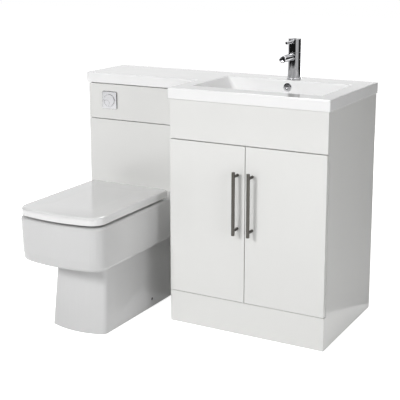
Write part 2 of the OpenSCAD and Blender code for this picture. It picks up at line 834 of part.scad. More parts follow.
module handle_bar() {
    y = door_face_y - handle_out;
    x = basin_x - handle_in;
    difference() {
        union() {
            translate([x, y, handle_z0 + 1]) cylinder(r = handle_r, h = handle_l - 2);
            translate([x, y, handle_z0]) cylinder(r1 = handle_r - 1, r2 = handle_r, h = 1);
            translate([x, y, handle_z1 - 1]) cylinder(r1 = handle_r, r2 = handle_r - 1, h = 1);
        }
        for (z = handle_post_zs) to_wall([x, y, z]) cylinder(r = post_r, h = 2 * handle_r);
    }
}

// Each post with its screw through the door.
module handle_posts() {
    for (z = handle_post_zs) to_wall([basin_x - handle_in, door_face_y - handle_out, z]) {
        cylinder(r = post_r, h = handle_out);
        translate([0, 0, handle_out]) cylinder(r = 2.5, h = board_t);
        translate([0, 0, handle_out + board_t]) cylinder(r1 = 5, r2 = 3.5, h = 2);
    }
}

// A cup pressed into the door's back, with its wings and its pin.
module hinge_cups() {
    for (z = hinge_zs) {
        difference() {
            union() {
                to_wall([door_x0 + cup_edge + cup_r, door_back_y - cup_depth, z])
                    cylinder(r = cup_r - 0.1, h = cup_depth);
                block([door_x0 + 14, door_back_y, z - 31], [door_x0 + 27, door_back_y + 1.2, z + 31]);
            }
            to_wall([door_x0 + cup_edge + cup_r, door_back_y - cup_depth + 0.8, z])
                cylinder(r = cup_r - 1.1, h = cup_depth + 2);
        }
        translate([hinge_x, hinge_y, z - 10.8]) cylinder(r = hinge_pin_r, h = 21.6);
    }
}

// An arm from the knuckle in the cup, bent back along the cabinet's side to its plate.
module hinge_arms() {
    for (z = hinge_zs) difference() {
        union() {
            translate([hinge_x, hinge_y, z - arm_w / 2]) cylinder(r = knuckle_r, h = arm_w);
            block([hinge_x, hinge_y - arm_t / 2, z - arm_w / 2],
                  [arm_x + arm_t, hinge_y + arm_t / 2, z + arm_w / 2]);
            block([arm_x, hinge_y - arm_t / 2, z - arm_w / 2],
                  [arm_x + arm_t, hinge_plate_y + 40, z + arm_w / 2]);
            block([split_x + board_t, hinge_plate_y, z - arm_w / 2],
                  [arm_x + arm_t, hinge_plate_y + 40, z + arm_w / 2]);
            block([split_x + board_t, hinge_plate_y + 8, z - 25],
                  [split_x + board_t + 3, hinge_plate_y + 32, z + 25]);
        }
        translate([hinge_x, hinge_y, z - arm_w]) cylinder(r = hinge_pin_r + run_clear, h = 2 * arm_w);
        for (s = [-1, 1]) to_right([split_x + board_t - past, hinge_plate_y + 20, z + s * 16])
            cylinder(r = 2.2, h = 3 + 2 * past);
    }
}

module left_door() { color("white") door(); }
module right_door() { color("white") other_side() door(); }
module left_handle_bar() { color("silver") handle_bar(); }
module right_handle_bar() { color("silver") other_side() handle_bar(); }
module left_handle_posts() { color("silver") handle_posts(); }
module right_handle_posts() { color("silver") other_side() handle_posts(); }
module left_hinge_cups() { color("gray") hinge_cups(); }
module right_hinge_cups() { color("gray") other_side() hinge_cups(); }
module left_hinge_arms() { color("gray") hinge_arms(); }
module right_hinge_arms() { color("gray") other_side() hinge_arms(); }

// ---------- toilet unit ----------

module wc_side_left() {
    color("white") block([left_x, wc_carcass_y, 0], [left_x + board_t, wall_y, unit_h]);
}

module wc_side_right() {
    color("white") block([split_x - board_t, wc_carcass_y, 0], [split_x, wall_y, unit_h]);
}

module wc_lower_panel() {
    color("white") difference() {
        block([left_x + door_reveal, wc_face_y, 0],
              [split_x - door_reveal, wc_carcass_y, split_line - front_gap / 2]);
        to_wall([wc_x, wc_face_y - past, outlet_z]) cylinder(r = outlet_r + 17, h = board_t + 2 * past);
        to_wall([wc_x, wc_face_y - past, inlet_z])
            cylinder(r = flush_pipe_r + 14, h = board_t + 2 * past);
    }
}

module wc_access_panel() {
    color("white") difference() {
        block([left_x + door_reveal, wc_face_y, split_line + front_gap / 2],
              [split_x - door_reveal, wc_carcass_y, front_top]);
        to_wall([plate_x, wc_face_y - past, plate_line])
            cylinder(r = housing_r + slide_clear, h = board_t + 2 * past);
    }
}

module wc_rails() {
    x0 = left_x + board_t;
    x1 = split_x - board_t;
    back_y = wall_y - board_t;
    color("white") {
        block([x0, wc_carcass_y, split_line - rail_w / 2], [x1, wc_carcass_y + board_t, split_line + rail_w / 2]);
        block([x0, wc_carcass_y, unit_h - rail_w / 2], [x1, wc_carcass_y + board_t, unit_h]);
        block([x0, back_y, tank_rim - 20 - rail_w], [x1, wall_y, tank_rim - 20]);
        block([x0, back_y, 0], [x1, wall_y, rail_w]);
    }
}

// ---------- flush plate and its mechanism ----------

module flush_plate() {
    edge = 1.2;
    color("silver") translate([plate_x, wc_face_y - plate_t, plate_line]) difference() {
        union() {
            translate([0, edge, 0]) upright_plate(plate_w, 5, plate_t - edge);
            upright_plate(plate_w - 2 * edge, 4, plate_t);
        }
        to_wall([0, -past, 0]) cylinder(r = button_r + button_gap, h = plate_t + 2 * past);
        to_wall([0, -past, 0]) cylinder(r = button_r + 4, h = past + 0.8);
    }
}

// The whole round face, and the part of it that belongs to the half flush.
module half_face(gap) {
    intersection() {
        circle(button_r);
        translate(half_button_at) circle(half_button_r + gap);
    }
}

module button_solid(stem) {
    translate([plate_x, wc_face_y, plate_line]) rotate([90, 0, 0]) {
        translate([0, 0, -3]) linear_extrude(plate_t + button_proud + 3) children();
        translate([stem[0], stem[1], wc_face_y - housing_end - 6])
            cylinder(r = stem_r, h = housing_end + 6 - wc_face_y - 2);
    }
}

module full_flush_button() {
    color("silver") button_solid(stem_at[0]) difference() {
        circle(button_r);
        half_face(button_gap);
    }
}

module half_flush_button() {
    color("silver") button_solid(stem_at[1]) half_face(0);
}

module button_housing() {
    l = housing_end - wc_face_y;
    color("dimgray") translate([plate_x, wc_face_y, plate_line]) {
        difference() {
            union() {
                to_wall([0, 0, 0]) cylinder(r = housing_r, h = l);
                to_wall([0, board_t, 0]) cylinder(r = housing_r + 6, h = 6);
                translate([0, l - 8, 0]) cylinder(r = 5, h = housing_r + 12);
            }
            to_wall([0, -past, 0]) cylinder(r = button_r + button_gap, h = l - 12 + past);
            for (s = stem_at) to_wall([s[0], 0, s[1]])
                cylinder(r = stem_r + run_clear, h = l + past);
        }
    }
}

// The cable rises from the housing, crosses over the tank and drops to the flush valve.
cable_start = [plate_x, housing_end - 8, plate_line + housing_r + 12];
cable_end = [wc_x, tank_y, tank_floor + tower_h + 14];

module flush_cable() {
    run = norm([cable_end[0] - cable_start[0], cable_end[1] - cable_start[1]]);
    dir = [cable_end[0] - cable_start[0], cable_end[1] - cable_start[1], 0] / run;
    normal = cross(dir, [0, 0, 1]);
    up = [0, 0, 1];
    origin = [cable_start[0], cable_start[1], 0];
    bend_z = cable_top - cable_bend;
    rising = [for (a = [180:-15:90]) origin
        + (cable_bend + cable_bend * cos(a)) * dir + (bend_z + cable_bend * sin(a)) * up];
    falling = [for (a = [90:-15:0]) origin
        + (run - cable_bend + cable_bend * cos(a)) * dir + (bend_z + cable_bend * sin(a)) * up];
    color("dimgray") sweep(concat([cable_start], rising, falling, [cable_end]), cable_r, normal);
}

// ---------- cistern ----------

module tank_plan(inset) {
    translate([wc_x, tank_y]) round_square(tank_w - 2 * inset, tank_d - 2 * inset, 24 - inset);
}

module cistern_tank() {
    color("white") difference() {
        union() {
            translate([0, 0, tank_low]) linear_extrude(tank_h) tank_plan(1);
            translate([0, 0, tank_rim - 8]) linear_extrude(8) tank_plan(0);
            // Pads that hang on the back rail.
            for (s = [-1, 1]) block([wc_x + s * 100 - 25, tank_y1 - 3, tank_rim - 75],
                [wc_x + s * 100 + 25, tank_y1, tank_rim - 35]);
        }
        translate([0, 0, tank_floor]) linear_extrude(tank_h) tank_plan(1 + tank_wall);
        translate([wc_x, tank_y, tank_low - past])
            cylinder(r = valve_tail_r + run_clear, h = tank_wall + 2 * past);
        translate([fill_x, tank_y, tank_low - past])
            cylinder(r = fill_stem_r + run_clear, h = tank_wall + 2 * past);
    }
}

module cistern_lid() {
    color("white") difference() {
        union() {
            translate([0, 0, tank_rim]) linear_extrude(tank_lid_t) tank_plan(0);
            translate([0, 0, tank_rim - 5]) linear_extrude(6) difference() {
                tank_plan(1.5 + tank_wall);
                tank_plan(4.5 + tank_wall);
            }
        }
        translate([wc_x, tank_y, tank_rim - 10]) cylinder(r = cable_r + 2, h = 40);
    }
}

module fill_valve() {
    tail = 34;
    stem_h = 190;
    color("gainsboro") translate([fill_x, tank_y, 0]) difference() {
        union() {
            translate([0, 0, tank_low - tail]) cylinder(r = fill_stem_r - 0.6, h = tail);
            translate([0, 0, tank_low - 1]) cylinder(r = fill_stem_r, h = stem_h);
            translate([0, 0, tank_floor]) cylinder(r = 19, h = 6);
            translate([0, 0, tank_low - 12]) cylinder(r = 18, h = 12, $fn = 6);
            translate([0, 0, tank_floor + stem_h - 12]) cylinder(r = 20, h = 22);
            translate([0, 0, tank_floor + stem_h + 10]) cylinder(r1 = 20, r2 = 13, h = 8);
        }
        translate([0, 0, tank_low - tail - past]) cylinder(r = 6, h = stem_h);
    }
}

module float_cup() {
    color("dodgerblue") translate([fill_x, tank_y, tank_floor + 8]) difference() {
        union() {
            cylinder(r = 26, h = 46);
            translate([0, 0, 46]) cylinder(r1 = 26, r2 = 20, h = 6);
        }
        translate([0, 0, -past]) cylinder(r = fill_stem_r + slide_clear, h = 60);
    }
}

// The tower stands on its threaded tail and guides the piston.
module flush_valve_tower() {
    color("gainsboro") translate([wc_x, tank_y, 0]) difference() {
        union() {
            translate([0, 0, tank_low - 22]) cylinder(r = valve_tail_r, h = tank_wall + 24);
            translate([0, 0, tank_floor]) cylinder(r = tower_r + 8, h = 5);
            translate([0, 0, tank_floor]) cylinder(r = tower_r, h = tower_h);
            translate([0, 0, tank_low - 12]) cylinder(r = valve_tail_r + 10, h = 12, $fn = 8);
            translate([0, 0, tank_floor + tower_h]) cylinder(r = 8, h = 14);
        }
        translate([0, 0, tank_low - 22 - past]) cylinder(r = valve_tail_r - 5, h = tank_wall + 28);
        translate([0, 0, tank_floor + 4]) cylinder(r = tower_r - 3, h = tower_h - 8);
        for (a = [0, 90]) rotate([0, 0, a])
            block([-tower_r - past, -12, tank_floor + 10], [tower_r + past, 12, tank_floor + 50]);
        for (a = [45, 135]) rotate([0, 0, a])
            block([-tower_r - past, -9, tank_floor + 70], [tower_r + past, 9, tank_floor + 140]);
    }
}

module flush_valve_piston() {
    color("dodgerblue") translate([wc_x, tank_y, tank_floor + 4 + slide_clear]) difference() {
        union() {
            cylinder(r = tower_r - 4, h = 6);
            cylinder(r = 15, h = tower_h - 8 - valve_lift - 6);
            translate([0, 0, 100]) cylinder(r = tower_r - 4, h = 4);
        }
        translate([0, 0, 6]) cylinder(r = 12.5, h = tower_h);
    }
}

// From the tank's tail down, round and forward into the pan.
module flush_pipe() {
    wall = 2.5;
    end_y = wc_face_y - 22;
    color("white") {
        translate([wc_x, tank_y, inlet_z + flush_bend])
            tube(flush_pipe_r, flush_pipe_r - wall, tank_low - 22 - inlet_z - flush_bend);
        translate([wc_x, tank_y - flush_bend, inlet_z + flush_bend]) rotate([90, 0, 90])
            rotate([0, 0, -90]) rotate_extrude(angle = 90) translate([flush_bend, 0]) difference() {
                circle(flush_pipe_r);
                circle(flush_pipe_r - wall);
            }
        to_wall([wc_x, end_y, inlet_z])
            tube(flush_pipe_r, flush_pipe_r - wall, tank_y - flush_bend - end_y);
        translate([wc_x, tank_y, tank_low - 22 - 10]) tube(valve_tail_r + 3, flush_pipe_r - wall, 10);
    }
}

module flush_pipe_seal() {
    color("dimgray") to_wall([wc_x, wc_face_y - flush_seal_l, inlet_z]) difference() {
        cylinder(r = flush_seal_r, h = flush_seal_l);
        translate([0, 0, 2]) cylinder(r = flush_pipe_r, h = flush_seal_l);
        translate([0, 0, -past]) cylinder(r = flush_way_r, h = flush_seal_l);
    }
}

// ---------- pan ----------

// One level of the pan's outside. grow is negative for the hollow inside the ceramic.
function pan_level(z, half, half_back, setback, r, grow) =
    [z, soft_outline(half + grow, half_back + grow, pan_front + setback - grow,
        wc_face_y + (grow < 0 ? 10 : 0), pan_bow, r, 4, grow < 0 ? 4 : 7)];

module pan_outside() {
    translate([wc_x, 0, 0]) loft([
        pan_level(0, foot_half, foot_back_half, foot_setback, 22, 0),
        pan_level(underside_z - 40, foot_top_half, foot_back_half, foot_top_setback, 22, 0),
        pan_level(underside_z - 12, foot_top_half + 2, foot_back_half, foot_top_setback - 2, 24, 0),
        pan_level(underside_z - 4, foot_top_half + 14, foot_back_half + 8, foot_top_setback - 34,
            34, 0),
        pan_level(underside_z, rim_half - 17, rim_half - 17, 26, 46, 0),
        pan_level(underside_z + 5, rim_half - 8.5, rim_half - 8.5, 14, 50, 0),
        pan_level(underside_z + 13, rim_half - 4.5, rim_half - 4.5, 7.5, pan_corner_r, 0),
        pan_level(underside_z + 40, rim_half - 3, rim_half - 3, 4, pan_corner_r, 0),
        pan_level(rim_z - 22, rim_half - 0.5, rim_half - 0.5, 0.5, pan_corner_r, 0),
        pan_level(rim_z - 8, rim_half, rim_half, 0, pan_corner_r, 0),
        pan_level(rim_z - 2.5, rim_half - 1.5, rim_half - 1.5, 1.5, pan_corner_r, 0),
        pan_level(rim_z, rim_half - 6, rim_half - 6, 6, pan_corner_r, 0)]);
}

module pan_hollow() {
    translate([wc_x, 0, 0]) loft([
        pan_level(-past, foot_half, foot_back_half, foot_setback, 14, -pan_wall),
        pan_level(underside_z - 28, foot_top_half, foot_back_half, foot_top_setback, 14, -pan_wall),
        pan_level(underside_z + 6, foot_top_half + 2, foot_back_half, foot_top_setback - 6, 24,
            -pan_wall),
        pan_level(underside_z + 14, rim_half - 12, rim_half - 12, 26, 46, -pan_wall),
        pan_level(underside_z + 40, rim_half - 3, rim_half - 3, 4, pan_corner_r, -pan_wall),
        pan_level(rim_z - rim_t, rim_half - 1, rim_half - 1, 1, pan_corner_r, -pan_wall)]);
}

// Levels of the bowl: height below the rim, half width, and front and back from the rim.
bowl_dip = [[388, 22, 242, 284], [355, 31, 232, 292], [305, 35, 226, 294], [245, 46, 208, 320],
            [190, 60, 192, 345], [152, 76, 174, 366], [130, 90, 112, 376], [80, 110, 76, 396],
            [20, 125, 54, 412]];

module pan_bowl(wall) {
    function level(b) = [rim_z - b[0] - wall,
        oval(b[1] + wall, pan_front + b[2] - wall, pan_front + b[3] + wall, 2.3)];
    top = bowl_dip[len(bowl_dip) - 1];
    rim = level([wall > 0 ? 6 : -past, top[1], top[2], top[3]]);
    translate([wc_x, 0, 0]) loft(concat([for (b = bowl_dip) level(b)], [[rim[0] + wall, rim[1]]]));
}

// The trap's way, from the bowl's well up and back to the outlet.
module trap_way(r, r_end) {
    well = [wc_x, pan_front + well_back, rim_z - well_drop];
    weir = [wc_x, wc_face_y - weir_run, outlet_z - outlet_r + spigot_wall + trap_way_r];
    run = weir - well;
    translate(well) rotate([-atan2(run[1], run[2]), 0, 0]) cylinder(r = r, h = norm(run));
    translate(weir) sphere(r + 2);
    to_wall([weir[0], weir[1], outlet_z]) cylinder(r = r_end, h = weir_run - spigot_back);
}

module wc_pan() {
    boss_l = 190;
    through = 20;
    color("white") difference() {
        union() {
            difference() {
                pan_outside();
                pan_hollow();
            }
            pan_bowl(pan_wall);
            trap_way(trap_way_r + pan_wall, outlet_r);
            to_wall([wc_x, wc_face_y - boss_l, inlet_z])
                cylinder(r = flush_pipe_r + 14, h = boss_l);
        }
        pan_bowl(0);
        trap_way(trap_way_r, outlet_r - spigot_wall);
        to_wall([wc_x, wc_face_y - boss_l - through, inlet_z])
            cylinder(r = flush_way_r, h = boss_l + 2 * through);
        to_wall([wc_x, wc_face_y - flush_seal_l, inlet_z])
            cylinder(r = flush_seal_r, h = flush_seal_l + through);
        for (s = [-1, 1])
            translate([wc_x + s * hinge_pitch / 2, hinge_axis_y, rim_z - rim_t - through])
                cylinder(r = seat_bolt_r, h = rim_t + 2 * through);
        to_right([wc_x - rim_half, fixing_y, fixing_z]) cylinder(r = fixing_r, h = 2 * rim_half);
    }
}

module pan_connector() {
    grip = 26;
    grip_y = wc_face_y - spigot_back - grip;
    color("white") difference() {
        union() {
            to_wall([wc_x, grip_y, outlet_z]) cylinder(r = outlet_r + 3, h = wall_y - grip_y);
            to_wall([wc_x, wall_y - soil_end_l, outlet_z])
                cylinder(r = outlet_r + 4, h = soil_end_l);
            to_wall([wc_x, grip_y, outlet_z]) cylinder(r = outlet_r + 10, h = 12);
            to_wall([wc_x, grip_y + 20, outlet_z]) cylinder(r = outlet_r + 8, h = 6);
        }
        to_wall([wc_x, grip_y - past, outlet_z])
            cylinder(r = outlet_r + run_clear, h = grip + past);
        to_wall([wc_x, grip_y, outlet_z]) cylinder(r = outlet_r - 2, h = wall_y);
    }
}

// A bracket inside each side of the foot, with a screw through the ceramic.
module pan_fixings() {
    outer = foot_half + (foot_back_half - foot_half) * 0.66;
    inner = outer - pan_wall - 3;
    bracket_h = fixing_z + 15;
    bracket_w = 16;
    base_l = 30;
    post_t = 14;
    screw_r = 3;
    color("gray") both_sides() translate([0, fixing_y, 0]) {
        difference() {
            union() {
                block([inner - base_l, -bracket_w, 0], [inner, bracket_w, 4]);
                block([inner - post_t, -bracket_w, 0], [inner, bracket_w, bracket_h]);
            }
            to_right([inner - base_l, 0, fixing_z]) cylinder(r = screw_r, h = 2 * base_l);
        }
        to_right([inner - 12, 0, fixing_z]) cylinder(r = screw_r, h = outer - 8 - inner + 12);
        to_right([outer - 12, 0, fixing_z]) cylinder(r = fixing_r - run_clear, h = 4);
    }
}

// ---------- seat and lid ----------

function lid_level(z, inset) =
    [z, soft_outline(rim_half - 2.5 - inset, rim_half - 2.5 - inset, pan_front + 3 + inset,
        lid_back_y - inset, pan_bow, pan_corner_r - 3 - inset * 0.5,
        max(2, 14 - inset * 0.5))];

// Places of the knuckles along the hinge pin, from the post outwards.
post_half = 7;
knuckle_w = 12;
seat_hole_half = 104;
seat_hole_front = 68;
seat_hole_back = 380;
pad_in = 38;
pad_front = 110;
pad_back = 350;
knuckle_gap = 1;
lid_knuckle_at = hinge_pitch / 2 - post_half - knuckle_gap - knuckle_w;
seat_knuckle_at = hinge_pitch / 2 + post_half + knuckle_gap;

module knuckle(x) {
    to_right([x, hinge_axis_y, hinge_axis_z]) cylinder(r = seat_knuckle_r, h = knuckle_w);
}

module knuckle_bore() {
    reach = 2 * (post_half + knuckle_gap + knuckle_w);
    to_right([hinge_pitch / 2 - reach / 2 - past, hinge_axis_y, hinge_axis_z])
        cylinder(r = seat_pin_r + run_clear, h = reach + 2 * past);
}

module toilet_lid() {
    cavity_top = lid_top - lid_wall - 1;
    color("white") difference() {
        union() {
            difference() {
                translate([wc_x, 0, 0]) loft([
                    lid_level(lid_low, 0.8), lid_level(lid_low + 1, 0),
                    lid_level(lid_top - 10, 0.6), lid_level(lid_top - 5.4, 1.7),
                    lid_level(lid_top - 3, 3.8), lid_level(lid_top - 1.8, 7),
                    lid_level(lid_top - 1.2, 14), lid_level(lid_top - 0.6, 45),
                    lid_level(lid_top, 88)]);
                translate([wc_x, 0, 0]) loft([
                    lid_level(lid_low - past, lid_wall), lid_level(cavity_top - 8, lid_wall + 1),
                    lid_level(cavity_top, lid_wall + 7)]);
            }
            both_sides() {
                knuckle(lid_knuckle_at);
                block([lid_knuckle_at, hinge_axis_y - seat_knuckle_r, hinge_axis_z],
                      [lid_knuckle_at + knuckle_w, hinge_axis_y + seat_knuckle_r, cavity_top + 2]);
            }
        }
        both_sides() {
            knuckle_bore();
            to_right([seat_knuckle_at - knuckle_gap, hinge_axis_y, hinge_axis_z])
                cylinder(r = seat_knuckle_r + 1, h = knuckle_w + 2 * knuckle_gap);
            block([hinge_pitch / 2 - post_half - 2, hinge_axis_y - 8, lid_low - 2],
                  [hinge_pitch / 2 + post_half + 2, lid_back_y + past, cavity_top]);
        }
    }
}

module seat_ring() {
    back = hinge_axis_y - 12;
    high = seat_low + seat_t;
    function level(z, inset) = [z, soft_outline(rim_half - 12 - inset, rim_half - 12 - inset,
        pan_front + 12.5 + inset, back - inset, pan_bow, pan_corner_r - 10, 10)];
    function hole(z, inset) = [z, oval(seat_hole_half + inset, pan_front + seat_hole_front - inset,
        pan_front + seat_hole_back + inset, 2.4)];
    color("white") difference() {
        union() {
            difference() {
                translate([wc_x, 0, 0]) loft([level(seat_low, 3), level(seat_low + 3, 0),
                    level(high - 6, 0), level(high - 1.5, 3), level(high, 8)]);
                translate([wc_x, 0, 0]) loft([hole(seat_low - past, 4), hole(seat_low + 4, 0),
                    hole(high - 7, 0), hole(high - 2, 5), hole(high, 14), hole(high + past, 16)]);
            }
            both_sides() {
                knuckle(seat_knuckle_at);
                block([seat_knuckle_at, back - 12, seat_low + 4],
                      [seat_knuckle_at + knuckle_w, hinge_axis_y, hinge_axis_z + 3]);
            }
        }
        both_sides() knuckle_bore();
    }
}

module seat_hinge_posts() {
    seat_foot_r = 12;
    bolt_below = 14;
    nut_r = 11;
    nut_h = 9;
    color("silver") both_sides() difference() {
        union() {
            translate([hinge_pitch / 2, hinge_axis_y, rim_z]) cylinder(r = seat_foot_r, h = 3);
            translate([hinge_pitch / 2, hinge_axis_y, rim_z - rim_t - bolt_below])
                cylinder(r = seat_bolt_r, h = rim_t + bolt_below + hinge_axis_z - rim_z);
            translate([hinge_pitch / 2, hinge_axis_y, rim_z - rim_t - nut_h])
                cylinder(r = nut_r, h = nut_h, $fn = 6);
            to_right([hinge_pitch / 2 - post_half, hinge_axis_y, hinge_axis_z])
                cylinder(r = seat_knuckle_r, h = 2 * post_half);
        }
        to_right([hinge_pitch / 2 - 2 * post_half, hinge_axis_y, hinge_axis_z])
            cylinder(r = seat_pin_r, h = 4 * post_half);
    }
}

module seat_hinge_pins() {
    color("gray") both_sides()
        to_right([lid_knuckle_at + 0.5, hinge_axis_y, hinge_axis_z])
            cylinder(r = seat_pin_r, h = seat_knuckle_at + knuckle_w - lid_knuckle_at - 1);
}

module pads(z, h, r) {
    for (x = [-1, 1], y = [pad_front, pad_back])
        translate([wc_x + x * (rim_half - pad_in), pan_front + y, z]) cylinder(r = r, h = h);
}

module seat_buffers() {
    color("gainsboro") pads(rim_z, seat_low - rim_z, 8);
}

module lid_buffers() {
    low = seat_low + seat_t;
    color("gainsboro") pads(low, lid_top - lid_wall - 1 - low, 6);
}

basin_top();
overflow_ring();
waste_flange();
waste_plug();
waste_nut();
trap_body();
trap_cup();
trap_arm();
tap_base_ring();
tap_body();
tap_aerator();
tap_cartridge();
tap_head();
tap_lever();
tap_lever_pin();
tap_fixing();
tap_tails();
basin_side_left();
basin_side_right();
basin_base();
basin_rails();
plinth();
fascia_panel();
left_door();
right_door();
left_handle_bar();
right_handle_bar();
left_handle_posts();
right_handle_posts();
left_hinge_cups();
right_hinge_cups();
left_hinge_arms();
right_hinge_arms();
wc_side_left();
wc_side_right();
wc_lower_panel();
wc_access_panel();
wc_rails();
flush_plate();
full_flush_button();
half_flush_button();
button_housing();
flush_cable();
cistern_tank();
cistern_lid();
fill_valve();
float_cup();
flush_valve_tower();
flush_valve_piston();
flush_pipe();
flush_pipe_seal();
wc_pan();
pan_connector();
pan_fixings();
seat_ring();
toilet_lid();
seat_hinge_posts();
seat_hinge_pins();
seat_buffers();
lid_buffers();
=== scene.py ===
"""Toilet and basin combination unit: materials, small fittings, light and camera."""

import json
import math

import bmesh
import bpy
from mathutils import Matrix, Vector


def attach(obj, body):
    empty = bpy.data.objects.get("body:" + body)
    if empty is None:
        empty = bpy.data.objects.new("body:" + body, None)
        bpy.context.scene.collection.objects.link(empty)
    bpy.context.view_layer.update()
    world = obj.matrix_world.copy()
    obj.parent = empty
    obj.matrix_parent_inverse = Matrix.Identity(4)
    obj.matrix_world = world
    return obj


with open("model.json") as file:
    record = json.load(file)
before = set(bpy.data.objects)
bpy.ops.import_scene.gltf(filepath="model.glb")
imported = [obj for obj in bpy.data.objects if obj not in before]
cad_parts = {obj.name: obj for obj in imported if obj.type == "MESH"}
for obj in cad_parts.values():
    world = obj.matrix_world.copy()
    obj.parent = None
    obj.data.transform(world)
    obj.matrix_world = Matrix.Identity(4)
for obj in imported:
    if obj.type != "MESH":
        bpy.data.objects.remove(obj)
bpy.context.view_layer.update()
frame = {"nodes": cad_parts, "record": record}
nodes = frame["nodes"]
MM = 0.001
WHITE = (1, 1, 1, 1)


# ---------- materials ----------

class Graph:
    """Adds and links nodes in a material's or the world's tree."""

    def __init__(self, tree):
        self.tree = tree

    def add(self, kind, inputs=None, **settings):
        node = self.tree.nodes.new("ShaderNode" + kind)
        for key, value in settings.items():
            setattr(node, key, value)
        for key, value in (inputs or {}).items():
            if isinstance(value, bpy.types.NodeSocket):
                self.tree.links.new(value, node.inputs[key])
            else:
                node.inputs[key].default_value = value
        return node

    def ramp(self, factor, stops):
        """The colour of a ramp with (position, colour) stops, read at a factor from 0 to 1."""
        node = self.add("ValToRGB", {"Fac": factor})
        elements = node.color_ramp.elements
        while len(elements) < len(stops):
            elements.new(0.5)
        for element, (position, colour) in zip(elements, stops):
            element.position = position
            element.color = colour
        return node.outputs["Color"]


def tone(colour, factor):
    """The colour made lighter or darker, with full alpha and no channel over 1."""
    return (*[min(1.0, c * factor) for c in colour], 1.0)


# The span that a noise texture's values mostly keep to.
NOISE_LOW, NOISE_HIGH = 0.3, 0.7


def material(name, colour, rough, metal=0.0, coat=0.0, ior=1.5, patch=(6.0, 0.02),
             rough_patch=(40.0, 0.03), bump=(900.0, 0.0002), edge=0.0, stretch=(1, 1, 1),
             specular=0.5):
    """A finish with faint patches of tone, uneven gloss, fine relief and softened edges.

    patch, rough_patch and bump are the (scale, amount) of their noise. The relief's amount and
    the edge rounding are in metres. stretch scales the grain of gloss and relief along an axis.
    """
    mat = bpy.data.materials.new(name)
    mat.use_nodes = True
    graph = Graph(mat.node_tree)
    shader = mat.node_tree.nodes["Principled BSDF"]
    shader.inputs["Metallic"].default_value = metal
    shader.inputs["IOR"].default_value = ior
    shader.inputs["Specular IOR Level"].default_value = specular
    shader.inputs["Coat Weight"].default_value = coat
    shader.inputs["Coat Roughness"].default_value = 0.04
    place = graph.add("TexCoord").outputs["Object"]
    grain = graph.add("Mapping", {"Vector": place, "Scale": stretch}).outputs["Vector"]

    tones = graph.add("TexNoise", {"Vector": place, "Scale": patch[0], "Detail": 3.0})
    paint = graph.ramp(tones.outputs["Fac"], [(NOISE_LOW, tone(colour, 1 - patch[1])),
                                              (NOISE_HIGH, tone(colour, 1 + patch[1]))])
    mat.node_tree.links.new(paint, shader.inputs["Base Color"])

    smear = graph.add("TexNoise", {"Vector": grain, "Scale": rough_patch[0], "Detail": 4.0})
    gloss = graph.add("MapRange", {"Value": smear.outputs["Fac"], "From Min": NOISE_LOW,
                                   "From Max": NOISE_HIGH,
                                   "To Min": max(0.0, rough - rough_patch[1]),
                                   "To Max": rough + rough_patch[1]})
    mat.node_tree.links.new(gloss.outputs["Result"], shader.inputs["Roughness"])

    relief = graph.add("TexNoise", {"Vector": grain, "Scale": bump[0], "Detail": 2.0})
    raised = graph.add("Bump", {"Height": relief.outputs["Fac"], "Distance": bump[1],
                                "Strength": 0.5})
    if edge:
        soft = graph.add("Bevel", {"Radius": edge}, samples=6)
        mat.node_tree.links.new(soft.outputs["Normal"], raised.inputs["Normal"])
    mat.node_tree.links.new(raised.outputs["Normal"], shader.inputs["Normal"])
    return mat


